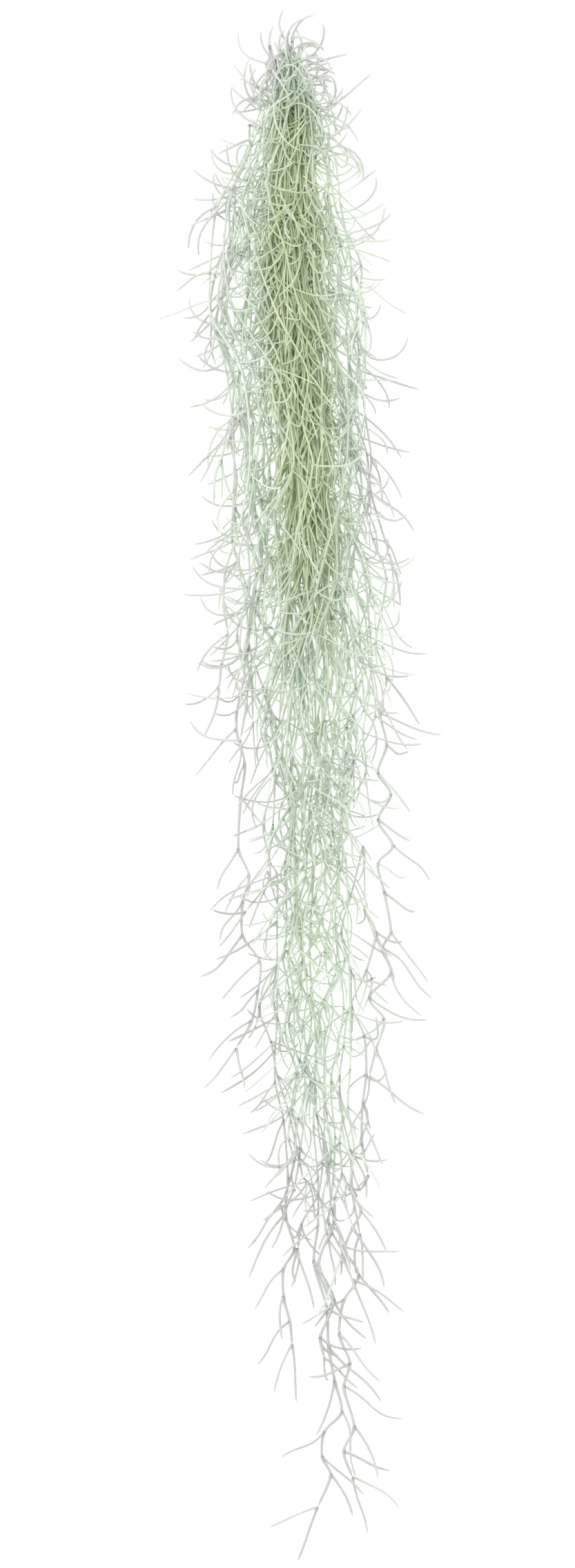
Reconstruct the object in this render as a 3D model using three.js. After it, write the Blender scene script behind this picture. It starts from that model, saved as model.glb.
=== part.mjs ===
// A bunch of Spanish moss (Tillandsia usneoides), lying on a flat surface.
//
// The bunch is a tangle of long leafy stems with no root and no holder. Each stem is one living strand:
// a thread-thin stalk that kinks at every node and carries thread-thin leaves there. The strands are
// gathered in a narrow neck at the top end, fan out into a body with a dense core, and thin out into a
// tail of a few single trailing strands.
//
// Units are millimetres. +Z is up, and the bunch lies on z = 0 with its gathered end towards +Y.
// Every strand is one closed solid, a three-sided tube whose leaves are drawn out of its own faces.
// Strands lie close to each other and never through each other.

import * as THREE from "three";

// ---------------------------------------------------------------- driving dimensions

const LENGTH = 720; // from the topmost leaf tips to the lowest tip
const STEM_RADIUS = 0.68; // to the corners of the three-sided stem
const LEAF_RADIUS = 0.55; // to the corners of a leaf, near its root
const BODY_INTERNODE = 25; // stem length between two nodes in the body
const TAIL_INTERNODE = 21; // and in the tail, where the kinks are sharper
const COLLAR = 1.7; // length of the short stem piece at a node that the leaves grow from
const LEAF_LENGTH = [21, 36]; // shortest and longest leaf
const END_LENGTH = { top: [14, 21], bottom: [20, 32] }; // the leaves that a strand ends in
const CLEARANCE = 0.34; // least gap between two strands
const OWN_CLEARANCE = 0.12; // and between two threads of one strand
const OWN_START = 3.2; // length of a leaf, from its root, that may lie near its own strand
const SIDE_REACH = [-59, 67]; // no leaf reaches further to the left or right
const FLOOR_STEM = STEM_RADIUS / 2; // centre height of a stem that lies on one flat side
const FLOOR_LEAF = LEAF_RADIUS; // centre height of a leaf that lies on the floor
const LOW = 1; // a node below this height lies on the floor

const LANE_STRANDS = 36;
const STARTS = [13, 44]; // distances down at which the middle strand and the outermost one start
const POINTED = 1.3; // the higher, the more strands start near the top
const START_SPREAD = 7; // how far below that a start may lie
const SHORTEST = 250; // distance down at which the shortest strand of the body ends
const LONGEST = 585; // and the longest
const FEW_LONG = 1.6; // the higher, the fewer strands are long
const INTERNODE_SPREAD = [0.7, 1.25]; // shortest and longest internode, as shares of the usual one
const SWAY = [0.8, 3.0]; // how far a strand wanders in its lane
const SWAY_PERIOD = [60, 120];
const KINK = [1.3, 3.2]; // how far a node stands out of its lane; twice that in the tail
const KINK_TILT = 0.9; // most radians between a strand's kinks and the horizontal
const LIE = 0.6; // share of sway and kinks that is left in height, because the bunch lies flat
const SAG = 2.2; // how far the underside of the bunch is pressed flat by its own weight

const TRIANGLE_LIMIT = 17400; // the leaves stop here
const LEAVES_AT_A_NODE = 3; // at most
const TRIES_FOR_A_LEAF = 22;
const LEAN = [0.6, 1.25]; // radians between a leaf and its stem
const CORE_LEAN = [0.45, 0.8]; // the same in the core, where the leaves are combed along the stems
const CROWN_LEAN = [0.7, 2.4]; // and in the crown, where some stand upwards
const ASIDE = 0.8; // most radians round the stem between a leaf and the face that it grows from
const BEND_ASIDE = 1.2; // most radians between the way a leaf curls and straight away from its stem
const CURLS_INWARDS = 0.55; // share of leaves that curl towards the stem instead
const CORE_CURLS_INWARDS = 0.65; // and the share of those in the core
const LEAST_RISE = 0.42; // sine of the least angle between a leaf and the face that it grows from
const FACES_DOWN = -0.9; // a face whose normal is lower than this lies on the floor
const SHARPEST_BEND = 1.15; // most radians between two straight pieces of a leaf
const SHORTEST_PIECE = 4; // of a leaf
const CURVED = 0.7; // a leaf that turns through more radians than this has three pieces, not two
const LEAF_TAPER = 0.3;
const FIRST_OF_TWO = 0.56; // share of a leaf of two pieces that lies in the first
const END_TILT = { top: 0.7, bottom: 0.35 }; // most radians between a stem's end and its end leaf
const END_CURL = { top: [1.2, 2.9], bottom: [0.15, 0.6] }; // radians that an end leaf turns through

// The outline of the gathered strands, from the top down:
// [distance down, centre x, core centre x, half width, half thickness]
const OUTLINE = [
  [8, -5, -5, 6, 6],
  [22, -6, -6, 6.6, 7],
  [34, -6, -5, 8, 8],
  [60, -7, -3, 18, 10],
  [92, -10, -2, 29, 13],
  [118, -11, -1, 36, 16],
  [145, -8, 0, 36, 17],
  [190, 0, 1, 35, 18],
  [262, 3, 4, 37, 18],
  [333, 4, 5, 35, 14],
  [357, 2, 4, 31, 12],
  [395, 1, 2, 25, 9],
  [450, 1, 1, 22, 7],
  [520, 3, 2, 20, 5],
  [590, 4, 3, 14, 3],
];
const LOOSENS = [30, 86]; // the lanes are tight above the first distance down, loose below the second
const TAIL = 380; // distance down at which the body ends and the tail of single strands begins
const KINKIER = [TAIL - 60, TAIL + 40]; // where the kinks grow to those of the tail
const TRAILS = 240; // distance down at which a trailing strand leaves the others
const OPENS = 110; // distance down at which the core's strands carry fewer leaves
const CORE_SHARE = 0.72; // lane radius, at the neck, inside which strands go to the core
const CORE_RADIUS = 0.45; // lane radius of that core in the body
const TWIST = 0.55; // swing of all lanes about the middle of the bunch, in radians
const TWIST_PERIOD = 260;
const CROWN = 70; // above this distance down some leaves stand upwards
const CURL = [
  [40, 1.3, 2.9],
  [130, 0.3, 1.9],
  [300, 0.2, 1.4],
  [420, 0.15, 0.9],
  [560, 0.15, 0.6],
]; // [distance down, least and most radians that a leaf turns through]

// Single strands that trail below the body, each as a list of its kinks: [distance down, x, height].
// Above its first kink a strand runs in a lane of the body.
const TRAILING = [
  {
    name: "lowest",
    lane: 0.35,
    at: -1.9,
    kinks: [
      [398, 5, 6],
      [440, 3, 4],
      [480, 6, 2.6],
      [521, 5, 0],
      [545, 7, 0],
      [567, 7, 0],
      [584, 5, 0],
      [605, 11, 0],
      [624, 12, 0],
      [640, 15, 0],
      [654, 18, 0],
      [663, 10, 0],
      [675, 9, 0],
      [683, 13, 0],
      [698, 7, 0],
    ],
  },
  {
    name: "lower_right",
    lane: 0.5,
    at: -1.2,
    kinks: [
      [392, 16, 5],
      [426, 15, 4],
      [466, 19, 2],
      [500, 13, 0],
      [526, 15, 0],
      [547, 14, 0],
      [566, 12, 0],
      [576, 17, 0],
      [590, 26, 0],
      [602, 19, 0],
      [618, 17, 0],
      [631, 22, 0],
      [642, 19, 0],
      [661, 24, 0],
      [672, 19, 0],
      [684, 23, 0],
    ],
  },
  {
    name: "lower_left",
    lane: 0.72,
    at: -2.3,
    kinks: [
      [384, -13, 0],
      [396, -16, 0],
      [403, -12, 0],
      [426, -12, 0],
      [446, -12, 0],
      [470, -12, 0],
      [486, -13, 0],
      [500, -13, 0],
      [518, -9, 0],
      [545, -7, 0],
      [562, -8, 0],
      [578, -4, 0],
      [587, -9, 0],
      [600, -9, 0],
      [612, -6, 0],
      [622, -5, 0],
    ],
  },
  {
    name: "stray_right",
    lane: 0.97,
    at: -0.35,
    kinks: [
      [296, 34, 3],
      [312, 39, 1],
      [328, 36, 0],
      [343, 39, 0],
      [356, 35, 0],
      [366, 41, 0],
      [378, 35, 0],
      [390, 42, 0],
      [398, 35, 0],
      [412, 38, 0],
      [430, 41, 0],
      [438, 37, 0],
      [449, 41, 0],
      [461, 31, 0],
      [471, 38, 0],
      [485, 34, 0],
      [497, 31, 0],
    ],
  },
  {
    name: "stray_left",
    lane: 0.97,
    at: -2.8,
    kinks: [
      [318, -29, 3],
      [336, -31, 1],
      [352, -27, 0],
      [368, -29, 0],
      [392, -30, 0],
      [404, -25, 0],
      [416, -28, 0],
      [432, -28, 0],
      [444, -20, 0],
      [458, -21, 0],
      [472, -24, 0],
      [484, -31, 0],
    ],
  },
  {
    name: "stray_upper_left",
    lane: 0.99,
    at: 2.9,
    kinks: [
      [262, -36, 9],
      [278, -37, 4],
      [292, -35, 1],
      [306, -38, 0],
      [316, -39, 0],
    ],
  },
  {
    name: "tail_right",
    lane: 0.6,
    at: -0.1,
    kinks: [
      [396, 20, 9],
      [430, 21, 8],
      [466, 22, 6],
      [494, 22, 5],
      [512, 21, 4],
      [532, 24, 4],
      [548, 22, 4],
      [560, 27, 4],
      [568, 23, 4],
      [580, 19, 3],
      [592, 23, 3],
    ],
  },
  {
    name: "tail_middle",
    lane: 0.3,
    at: 0.4,
    kinks: [
      [392, 11, 11],
      [416, 14, 10],
      [440, 10, 8],
      [466, 14, 6],
      [490, 10, 5],
      [514, 11, 4],
      [536, 13, 3],
      [556, 9, 3],
      [574, 12, 3],
    ],
  },
];

// Moss colours: the sheltered core is greener, the outside is silvery.
const CORE_MOSS = { color: 0x9fb083, roughness: 0.75, metalness: 0 };
const OUTER_MOSS = { color: 0xb9c7ab, roughness: 0.8, metalness: 0 };
const TRAILING_MOSS = { color: 0xc6ccbd, roughness: 0.8, metalness: 0 };

// ---------------------------------------------------------------- numbers

const TAU = 2 * Math.PI;
const MOST_NODES = 64; // of a strand, and
const MOST_TRIES = 40; // for a leaf: so every leaf's draws are its own
const UP = new THREE.Vector3(0, 0, 1);
const { lerp, smoothstep, clamp } = THREE.MathUtils;

// A repeatable number from 0 to 1 for any three whole numbers.
function draw(a, b, c) {
  let h = Math.imul(a + 11, 374761393) ^ Math.imul(b + 7, 668265263);
  h ^= Math.imul(c + 3, 1274126177);
  h = Math.imul(h ^ (h >>> 15), 2246822519);
  h = Math.imul(h ^ (h >>> 13), 3266489917);
  return ((h ^ (h >>> 16)) >>> 0) / 4294967296;
}

// The row of a table whose first column is the distance down, interpolated at that distance.
function rowAt(table, down) {
  const last = table.length - 1;
  let k = 0;
  while (k < last - 1 && down > table[k + 1][0]) k++;
  const share = clamp((down - table[k][0]) / (table[k + 1][0] - table[k][0]), 0, 1);
  return table[k].map((low, column) => lerp(low, table[k + 1][column], share));
}

// ---------------------------------------------------------------- where the strands run

// How far apart the lanes are let at a distance down: 0 in the neck, 1 well away from it.
const looseness = (down) => smoothstep(down, ...LOOSENS);

// A lane's radius in the body, where the inner lanes crowd into the core.
function packedRadius(radius) {
  if (radius < CORE_SHARE) return (radius * CORE_RADIUS) / CORE_SHARE;
  return lerp(CORE_RADIUS, 1, (radius - CORE_SHARE) / (1 - CORE_SHARE));
}

// A strand in the body keeps its lane: a place in a unit disc that is scaled to the outline.
function laneAt(lane, down) {
  const [, centre, coreCentre, halfWidth, halfThickness] = rowAt(OUTLINE, down);
  const loose = looseness(down);
  const radius = lerp(lane.radius, packedRadius(lane.radius), loose);
  const angle = lane.angle + TWIST * loose * Math.sin((TAU * down) / TWIST_PERIOD);
  const sway = (TAU * down) / lane.period + lane.phase;
  return new THREE.Vector3(
    lerp(coreCentre, centre, radius) +
      halfWidth * radius * Math.cos(angle) +
      lane.sway * loose * Math.sin(sway),
    LENGTH / 2 - down,
    FLOOR_STEM -
      SAG +
      halfThickness * (1 + radius * Math.sin(angle)) +
      LIE * lane.sway * loose * Math.cos(sway),
  );
}

function makeLane(index, radius, angle) {
  return {
    radius,
    angle,
    sway: lerp(...SWAY, draw(index, 1, 1)),
    period: lerp(...SWAY_PERIOD, draw(index, 1, 2)),
    phase: TAU * draw(index, 1, 3),
    kink: lerp(...KINK, draw(index, 2, 2)) * (radius < CORE_SHARE ? LIE : 1),
    tilt: lerp(-KINK_TILT, KINK_TILT, draw(index, 2, 1)),
  };
}

// The bunch is gathered to a point: the nearer a lane is to the middle, the higher its strand starts.
const startOf = (index, lane) =>
  lerp(...STARTS, lane.radius ** POINTED) + START_SPREAD * draw(index, 3, 1);

// The nodes of a strand from one distance down to another, kinked left and right in turn.
function laneNodes(index, lane, from, to) {
  const nodes = [];
  for (let down = from, j = 0; down < to; j++) {
    const inTail = smoothstep(down, ...KINKIER);
    const aside = (j % 2 ? 1 : -1) * lane.kink * looseness(down) * (1 + inTail);
    const node = laneAt(lane, down);
    node.x += aside * Math.cos(lane.tilt);
    node.z += LIE * aside * Math.sin(lane.tilt);
    nodes.push(node);
    const internode = down < TAIL ? BODY_INTERNODE : TAIL_INTERNODE;
    down += internode * lerp(...INTERNODE_SPREAD, draw(index, j, 4));
  }
  return nodes;
}

function trailingNodes(index, { lane, at, kinks }) {
  const own = makeLane(index, lane, at);
  const nodes = laneNodes(index, own, startOf(index, own), kinks[0][0] - BODY_INTERNODE / 2);
  for (const [down, x, height] of kinks)
    nodes.push(new THREE.Vector3(x, LENGTH / 2 - down, FLOOR_STEM + height));
  return nodes;
}

// The lanes of the body are spread as seeds are in a sunflower. A few strands are long, most are short,
// and the long ones are spread over the lanes.
const SEED_ANGLE = Math.PI * (3 - Math.sqrt(5));
const strands = [];
for (let i = 0; i < LANE_STRANDS; i++) {
  const lane = makeLane(i, Math.sqrt((i + 0.5) / LANE_STRANDS), i * SEED_ANGLE);
  const rank = (i * Math.SQRT2) % 1;
  strands.push({
    name: `strand_${String(i + 1).padStart(2, "0")}`,
    finish: lane.radius < CORE_SHARE ? CORE_MOSS : OUTER_MOSS,
    nodes: laneNodes(i, lane, startOf(i, lane), lerp(SHORTEST, LONGEST, Math.pow(rank, FEW_LONG))),
  });
}
TRAILING.forEach((trailing, k) =>
  strands.push({
    name: `trailing_${trailing.name}`,
    finish: TRAILING_MOSS,
    nodes: trailingNodes(LANE_STRANDS + k, trailing),
  }),
);

// ---------------------------------------------------------------- threads keep clear of each other

// Closest points of two straight pieces: their distance, and how far along each piece they lie.
function closest(p0, p1, q0, q1) {
  const ux = p1.x - p0.x,
    uy = p1.y - p0.y,
    uz = p1.z - p0.z;
  const vx = q1.x - q0.x,
    vy = q1.y - q0.y,
    vz = q1.z - q0.z;
  const wx = p0.x - q0.x,
    wy = p0.y - q0.y,
    wz = p0.z - q0.z;
  const a = ux * ux + uy * uy + uz * uz;
  const b = ux * vx + uy * vy + uz * vz;
  const c = vx * vx + vy * vy + vz * vz;
  const d = ux * wx + uy * wy + uz * wz;
  const e = vx * wx + vy * wy + vz * wz;
  const det = a * c - b * b;
  let s = det > 1e-9 ? clamp((b * e - c * d) / det, 0, 1) : 0.5;
  const t = clamp((b * s + e) / c, 0, 1);
  s = clamp((b * t - d) / a, 0, 1);
  const gap = Math.hypot(wx + s * ux - t * vx, wy + s * uy - t * vy, wz + s * uz - t * vz);
  return { gap, s, t };
}

const tooFar = (p0, p1, q0, q1, reach) =>
  Math.min(p0.y, p1.y) - Math.max(q0.y, q1.y) > reach ||
  Math.min(q0.y, q1.y) - Math.max(p0.y, p1.y) > reach ||
  Math.min(p0.x, p1.x) - Math.max(q0.x, q1.x) > reach ||
  Math.min(q0.x, q1.x) - Math.max(p0.x, p1.x) > reach ||
  Math.min(p0.z, p1.z) - Math.max(q0.z, q1.z) > reach ||
  Math.min(q0.z, q1.z) - Math.max(p0.z, p1.z) > reach;

// Stems that lie too close shoulder each other apart, sideways and in height, and none sinks into the floor.
function settle(all, rounds) {
  const least = 2 * STEM_RADIUS + CLEARANCE;
  for (let round = 0; round < rounds; round++) {
    let moved = 0;
    for (let a = 0; a < all.length; a++)
      for (let b = a + 1; b < all.length; b++)
        for (let i = 1; i < all[a].nodes.length; i++)
          for (let j = 1; j < all[b].nodes.length; j++) {
            const [p0, p1] = [all[a].nodes[i - 1], all[a].nodes[i]];
            const [q0, q1] = [all[b].nodes[j - 1], all[b].nodes[j]];
            if (tooFar(p0, p1, q0, q1, least)) continue;
            const { gap, s, t } = closest(p0, p1, q0, q1);
            if (gap >= least - 0.002) continue;
            const px = lerp(p0.x, p1.x, s) - lerp(q0.x, q1.x, t);
            const pz = lerp(p0.z, p1.z, s) - lerp(q0.z, q1.z, t);
            const size = Math.hypot(px, pz) || 1;
            const push = (0.52 * (least - gap)) / size;
            p0.x += (1 - s) * push * px;
            p0.z += (1 - s) * push * pz;
            p1.x += s * push * px;
            p1.z += s * push * pz;
            q0.x -= (1 - t) * push * px;
            q0.z -= (1 - t) * push * pz;
            q1.x -= t * push * px;
            q1.z -= t * push * pz;
            moved++;
          }
    for (const strand of all) for (const n of strand.nodes) n.z = Math.max(n.z, FLOOR_STEM);
    if (!moved) return;
  }
}
settle(strands, 200);

// ---------------------------------------------------------------- the skin of one strand

// Three points round a centre, square to the way the thread runs, the first towards `first`.
function ring(centre, along, first, radius) {
  const a = first.clone().addScaledVector(along, -first.dot(along)).normalize();
  const b = along.clone().cross(a);
  return [0, 1, 2].map((k) => {
    const turn = (TAU * k) / 3;
    return centre
      .clone()
      .addScaledVector(a, radius * Math.cos(turn))
      .addScaledVector(b, radius * Math.sin(turn));
  });
}

// The way from a ring's centre to its first point that turns the ring least against the three points
// that it is joined to: the points are turned back by thirds of a turn and averaged.
function matching(points, along) {
  const middle = points[0].clone().add(points[1]).add(points[2]).divideScalar(3);
  const a = points[0].clone().sub(middle);
  a.addScaledVector(along, -a.dot(along)).normalize();
  const b = along.clone().cross(a);
  let x = 0;
  let y = 0;
  points.forEach((point, k) => {
    const [u, v] = [point.clone().sub(middle).dot(a), point.clone().sub(middle).dot(b)];
    const [c, s] = [Math.cos((TAU * k) / 3), Math.sin((TAU * k) / 3)];
    x += u * c + v * s;
    y += v * c - u * s;
  });
  return a.multiplyScalar(x).addScaledVector(b, y);
}

class Skin {
  points = [];
  faces = [];

  add(points) {
    this.points.push(...points);
    return points.map((_, k) => this.points.length - points.length + k);
  }

  // Joins two rings with six triangles. Returns their places in the list of faces.
  tube(low, high) {
    const places = [];
    for (let k = 0; k < 3; k++) {
      const next = (k + 1) % 3;
      places.push(this.faces.length, this.faces.length + 1);
      this.faces.push([low[k], low[next], high[next]], [low[k], high[next], high[k]]);
    }
    return places;
  }

  // Draws one face out along a path, as a thread that ends in a point.
  drawOut(place, path, radii) {
    let rim = this.faces[place];
    this.faces[place] = null;
    for (let k = 1; k < path.length - 1; k++) {
      const along = path[k + 1].clone().sub(path[k - 1]).normalize();
      const first = matching(rim.map((v) => this.points[v]), along);
      const next = this.add(ring(path[k], along, first, radii[k]));
      this.tube(rim, next);
      rim = next;
    }
    const [tip] = this.add([path[path.length - 1]]);
    for (let k = 0; k < 3; k++) this.faces.push([rim[k], rim[(k + 1) % 3], tip]);
  }

  count() {
    return this.faces.filter(Boolean).length;
  }

  geometry() {
    const geometry = new THREE.BufferGeometry().setFromPoints(this.points);
    geometry.setIndex(this.faces.filter(Boolean).flat());
    geometry.computeVertexNormals();
    return geometry;
  }
}

// The stem: two rings at each node with a collar between them, and a long piece to the next node.
function growStem(strand, index) {
  const { nodes } = strand;
  const skin = new Skin();
  strand.skin = skin;
  strand.collars = [];
  let rim = null;
  nodes.forEach((node, j) => {
    const before = nodes[Math.max(0, j - 1)];
    const after = nodes[Math.min(nodes.length - 1, j + 1)];
    const along = after.clone().sub(before).normalize();
    const onFloor = node.z < LOW;
    if (onFloor) along.setZ(0).normalize();
    const side = along.clone().cross(UP).normalize();
    const over = side.clone().cross(along);
    const turn = Math.PI / 2 + (onFloor ? 0 : lerp(-0.5, 0.5, draw(index, j, 9)));
    const first = side.clone().multiplyScalar(Math.cos(turn)).addScaledVector(over, Math.sin(turn));
    const half = along.clone().multiplyScalar(COLLAR / 2);
    const low = skin.add(ring(node.clone().sub(half), along, first, STEM_RADIUS));
    const high = skin.add(ring(node.clone().add(half), along, first, STEM_RADIUS));
    if (rim) skin.tube(rim, low);
    else {
      strand.topCap = skin.faces.length;
      skin.faces.push([low[0], low[2], low[1]]);
    }
    const places = skin.tube(low, high);
    const faces = [0, 1, 2].map((k) => {
      const turned = first.clone().applyAxisAngle(along, TAU * (k / 3 + 1 / 6));
      return { place: places[2 * k + (draw(index, j, 10 + k) < 0.5 ? 0 : 1)], normal: turned };
    });
    strand.collars.push({ node, along, faces, leaves: 0 });
    rim = high;
  });
  strand.bottomCap = skin.faces.length;
  skin.faces.push([rim[0], rim[1], rim[2]]);
}

// ---------------------------------------------------------------- leaves

const threads = []; // every straight piece of stem or leaf: { from, to, radius, strand }

// A leaf is an arc of a circle: it leaves along `way` and turns through `turn` radians towards `bend`.
// Where it would sink into the floor it lies on it.
function leafPath(root, way, bend, length, turn, pieces) {
  const path = [root.clone()];
  for (let k = 1; k <= pieces; k++) {
    const share = pieces === 2 && k === 1 ? FIRST_OF_TWO : k / pieces;
    const angle = turn * share;
    const point = root
      .clone()
      .addScaledVector(way, (length * Math.sin(angle)) / turn)
      .addScaledVector(bend, (length * (1 - Math.cos(angle))) / turn);
    point.z = Math.max(point.z, FLOOR_LEAF);
    path.push(point);
  }
  return path;
}

// Whether a leaf's path stands off the face that it grows from and has no sharp fold.
function isSound(path, normal) {
  const ways = path.slice(1).map((point, k) => point.clone().sub(path[k]));
  if (ways.some((way) => way.length() < SHORTEST_PIECE)) return false;
  ways.forEach((way) => way.normalize());
  return (
    ways[0].dot(normal) > LEAST_RISE &&
    ways.slice(1).every((way, k) => way.dot(ways[k]) > Math.cos(SHARPEST_BEND))
  );
}

// Whether a leaf's path keeps clear of every thread and inside the bunch's length and width.
function isClear(path, strand) {
  const tip = path[path.length - 1];
  if (tip.x < SIDE_REACH[0] || tip.x > SIDE_REACH[1] || tip.y > LENGTH / 2) return false;
  const past = Math.min(0.9, OWN_START / path[0].distanceTo(path[1]));
  const pastRoot = path[0].clone().lerp(path[1], past);
  for (let k = 1; k < path.length; k++)
    for (const thread of threads) {
      const own = thread.strand === strand;
      const from = own && k === 1 ? pastRoot : path[k - 1];
      const least = LEAF_RADIUS + thread.radius + (own ? OWN_CLEARANCE : CLEARANCE);
      if (tooFar(from, path[k], thread.from, thread.to, least)) continue;
      if (closest(from, path[k], thread.from, thread.to).gap < least) return false;
    }
  return true;
}

function keep(path, strand) {
  for (let k = 1; k < path.length; k++)
    threads.push({ from: path[k - 1], to: path[k], radius: LEAF_RADIUS, strand });
}

// One leaf's shape, from repeatable draws. Leaves near the neck curl the most, and some stand upwards.
function leafShape(strand, index, node, slot, attempt, down, along, normal) {
  const key = slot * MOST_TRIES + attempt;
  const chance = (n) => draw(index * MOST_NODES + node, key, n);
  const aside = normal.clone().applyAxisAngle(along, lerp(-ASIDE, ASIDE, chance(1)));
  const inCore = strand.finish === CORE_MOSS && down < TAIL;
  const lean = lerp(...(down < CROWN ? CROWN_LEAN : inCore ? CORE_LEAN : LEAN), chance(2));
  const way = along.clone().multiplyScalar(Math.cos(lean)).addScaledVector(aside, Math.sin(lean));
  const outward = along.clone().multiplyScalar(-Math.sin(lean)).addScaledVector(aside, Math.cos(lean));
  const bend = outward.applyAxisAngle(way, lerp(-BEND_ASIDE, BEND_ASIDE, chance(3)));
  const inwards = chance(5) < (inCore ? CORE_CURLS_INWARDS : CURLS_INWARDS);
  const turn = lerp(...rowAt(CURL, down).slice(1), chance(4)) * (inwards ? -1 : 1);
  const length = lerp(...LEAF_LENGTH, chance(6));
  return { way, bend, turn, length };
}

// The radii of a leaf's rings, by their place on its path. Its tip is a point.
const taper = (pieces) =>
  Array.from({ length: pieces }, (_, k) => LEAF_RADIUS * (1 - (LEAF_TAPER * k) / pieces));

strands.forEach(growStem);
for (const strand of strands)
  for (let j = 1; j < strand.nodes.length; j++)
    threads.push({ from: strand.nodes[j - 1], to: strand.nodes[j], radius: STEM_RADIUS, strand });

// The stem's two ends run out into leaves of their own. Those at the top curl over.
function growEnd(strand, index, place, end, way, atTop) {
  const pieces = 3;
  for (let attempt = 0; attempt < TRIES_FOR_A_LEAF; attempt++) {
    const chance = (n) => draw(index * MOST_NODES + MOST_NODES - (atTop ? 4 : 3), attempt, n);
    const side = way.clone().cross(UP).normalize().applyAxisAngle(way, Math.PI * chance(1));
    const tilt = END_TILT[atTop ? "top" : "bottom"] * lerp(-1, 1, chance(2)) * (1 + attempt / 8);
    const heading = way.clone().applyAxisAngle(side, tilt);
    const bend = side.clone().cross(heading).normalize();
    const turn = lerp(...END_CURL[atTop ? "top" : "bottom"], chance(3));
    const length = lerp(...END_LENGTH[atTop ? "top" : "bottom"], chance(4));
    const path = leafPath(end, heading, bend, length, turn, pieces);
    if (!isSound(path, way) || !isClear(path, strand)) continue;
    keep(path, strand);
    strand.skin.drawOut(place, path, taper(pieces));
    return;
  }
}
strands.forEach((strand, index) => {
  const { nodes, collars } = strand;
  const reach = (collar, sign) =>
    collar.node.clone().addScaledVector(collar.along, (sign * COLLAR) / 2);
  const first = collars[0],
    last = collars[nodes.length - 1];
  growEnd(strand, index, strand.bottomCap, reach(last, 1), last.along.clone(), false);
  growEnd(strand, index, strand.topCap, reach(first, -1), first.along.clone().negate(), true);
});

// How many leaves a node should have: most on the tail, whose every leaf shows, and fewest in the core.
function wanted(strand, down) {
  if (down > TAIL || (strand.finish === TRAILING_MOSS && down > TRAILS)) return 3;
  if (down < CROWN) return 1;
  return strand.finish === CORE_MOSS && down > OPENS ? 1 : 2;
}

// Grows one leaf from a free face of a node's collar, if one of the tries finds room.
function growLeaf(strand, index, j, slot) {
  const collar = strand.collars[j];
  const down = LENGTH / 2 - collar.node.y;
  const onFloor = collar.node.z < LOW;
  for (let attempt = 0; attempt < TRIES_FOR_A_LEAF; attempt++) {
    const face = collar.faces[(j + slot + attempt) % 3];
    if (face.used || (onFloor && face.normal.z < FACES_DOWN)) continue;
    const shape = leafShape(strand, index, j, slot, attempt, down, collar.along, face.normal);
    const pieces = Math.abs(shape.turn) > CURVED ? 3 : 2;
    const root = collar.node.clone().addScaledVector(face.normal, STEM_RADIUS / 2);
    const path = leafPath(root, shape.way, shape.bend, shape.length, shape.turn, pieces);
    if (!isSound(path, face.normal) || !isClear(path, strand)) continue;
    keep(path, strand);
    strand.skin.drawOut(face.place, path, taper(pieces));
    face.used = true;
    return;
  }
}

// Every node gets its first leaf before any gets its second, so that the leaves are even all over.
const triangleCount = () => strands.reduce((sum, { skin }) => sum + skin.count(), 0);
for (let slot = 0; slot < LEAVES_AT_A_NODE; slot++)
  strands.forEach((strand, index) => {
    if (triangleCount() > TRIANGLE_LIMIT) return;
    strand.collars.forEach(({ node }, j) => {
      if (slot < wanted(strand, LENGTH / 2 - node.y)) growLeaf(strand, index, j, slot);
    });
  });

// ---------------------------------------------------------------- the finished group

const bunch = new THREE.Group();
bunch.name = "spanish_moss_bunch";
for (const { name, finish, skin } of strands) {
  const mesh = new THREE.Mesh(skin.geometry(), new THREE.MeshStandardMaterial(finish));
  mesh.name = name;
  bunch.add(mesh);
}

// The origin is under the middle of the bunch, on the surface it lies on.
const box = new THREE.Box3().setFromObject(bunch);
bunch.position.set(-(box.min.x + box.max.x) / 2, -(box.min.y + box.max.y) / 2, -box.min.z);

export default bunch;
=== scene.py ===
# %% [markdown]
# # A bunch of Spanish moss, laid down
#
# Spanish moss is an air plant without roots. A bunch of it is some hundreds of living strands. Each
# strand is a wiry stem that turns a little at every joint, with two or three leaves there that are
# as thin as the stem itself. Silvery scales cover all of it, so it looks grey when dry and green
# where many strands lie over each other.
#
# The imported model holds 44 of the strands as plain solids with three-sided threads. Here their lines
# are read from those solids, round tapering threads are grown on the same lines, and the finer
# strands that fill a real bunch are added between them. Everything lies on the table at z = 0, with
# the gathered end towards +Y.

import bpy
import numpy as np
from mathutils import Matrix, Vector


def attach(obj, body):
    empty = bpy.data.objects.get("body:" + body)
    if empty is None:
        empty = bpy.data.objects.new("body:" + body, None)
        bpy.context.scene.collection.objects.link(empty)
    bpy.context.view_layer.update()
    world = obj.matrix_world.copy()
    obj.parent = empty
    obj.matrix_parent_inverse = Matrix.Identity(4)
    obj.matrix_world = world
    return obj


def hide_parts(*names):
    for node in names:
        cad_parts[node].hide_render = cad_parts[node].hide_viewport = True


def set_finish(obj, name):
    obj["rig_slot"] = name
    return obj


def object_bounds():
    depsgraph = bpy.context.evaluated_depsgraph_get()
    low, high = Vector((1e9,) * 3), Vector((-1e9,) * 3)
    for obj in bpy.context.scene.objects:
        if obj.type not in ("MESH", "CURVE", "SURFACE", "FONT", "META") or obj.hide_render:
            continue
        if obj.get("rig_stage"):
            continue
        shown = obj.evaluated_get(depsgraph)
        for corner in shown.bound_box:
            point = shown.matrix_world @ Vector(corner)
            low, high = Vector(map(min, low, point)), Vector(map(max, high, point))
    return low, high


MM = 0.001  # everything is in metres

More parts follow.
